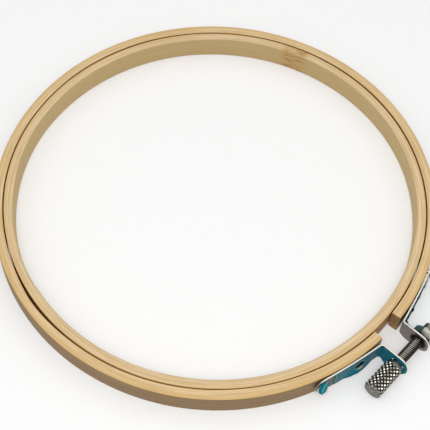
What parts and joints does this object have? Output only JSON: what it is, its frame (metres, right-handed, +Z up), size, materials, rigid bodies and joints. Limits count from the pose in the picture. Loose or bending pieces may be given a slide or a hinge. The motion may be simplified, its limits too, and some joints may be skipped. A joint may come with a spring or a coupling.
{
  "type": "embroidery hoop",
  "caption": "Round wooden embroidery hoop: a closed inner ring inside a split outer ring, drawn together by a knurled thumbscrew between bent steel brackets.",
  "frame": {"origin": "middle of the whole part's footprint, on the plane it lies on; the rings' centre is 6.45 mm towards +Y", "axes": "+Z up along the rings' axis; the clamp is at -Y, with the thumbscrew along X, its knob towards -X and its tip towards +X"},
  "size_m": [0.165, 0.178, 0.0095],
  "materials": {
    "inner_bamboo": "sanded bamboo, unvarnished",
    "outer_bamboo": "sanded bamboo, unvarnished",
    "sheet_steel": "bright rolled sheet",
    "turned_steel": "bright plated steel",
    "blue_film": "thin translucent protective film"
  },
  "bodies": {
    "left_side": {"outer_ring_left_half": "outer_bamboo", "left_bracket": "sheet_steel", "left_rivet": "turned_steel", "left_film": "blue_film"},
    "right_side": {"outer_ring_right_half": "outer_bamboo", "right_bracket": "sheet_steel", "right_rivet": "turned_steel", "right_film": "blue_film", "clamp_nut": "turned_steel"},
    "screw": {"thumbscrew": "turned_steel"},
    "inner": {"inner_ring": "inner_bamboo"}
  },
  "joints": [
    {"name": "thumbscrew_turn", "type": "hinge", "parent": "left_side", "child": "screw", "pos_m": [0, -0.0847, 0.00475], "axis": [1, 0, 0], "range_deg": [-1440, 360]},
    {"name": "outer_ring_spread", "type": "hinge", "parent": "left_side", "child": "right_side", "pos_m": [0, 0.08715, 0.00475], "axis": [0, 0, 1], "range_deg": [-0.23, 0.93]},
    {"name": "inner_ring_lift", "type": "slide", "parent": "left_side", "child": "inner", "axis": [0, 0, 1], "range_m": [0, 0.025]}
  ],
  "couplings": [
    {"joint": "thumbscrew_turn", "follows": "outer_ring_spread", "ratio": -1542.5}
  ]
}
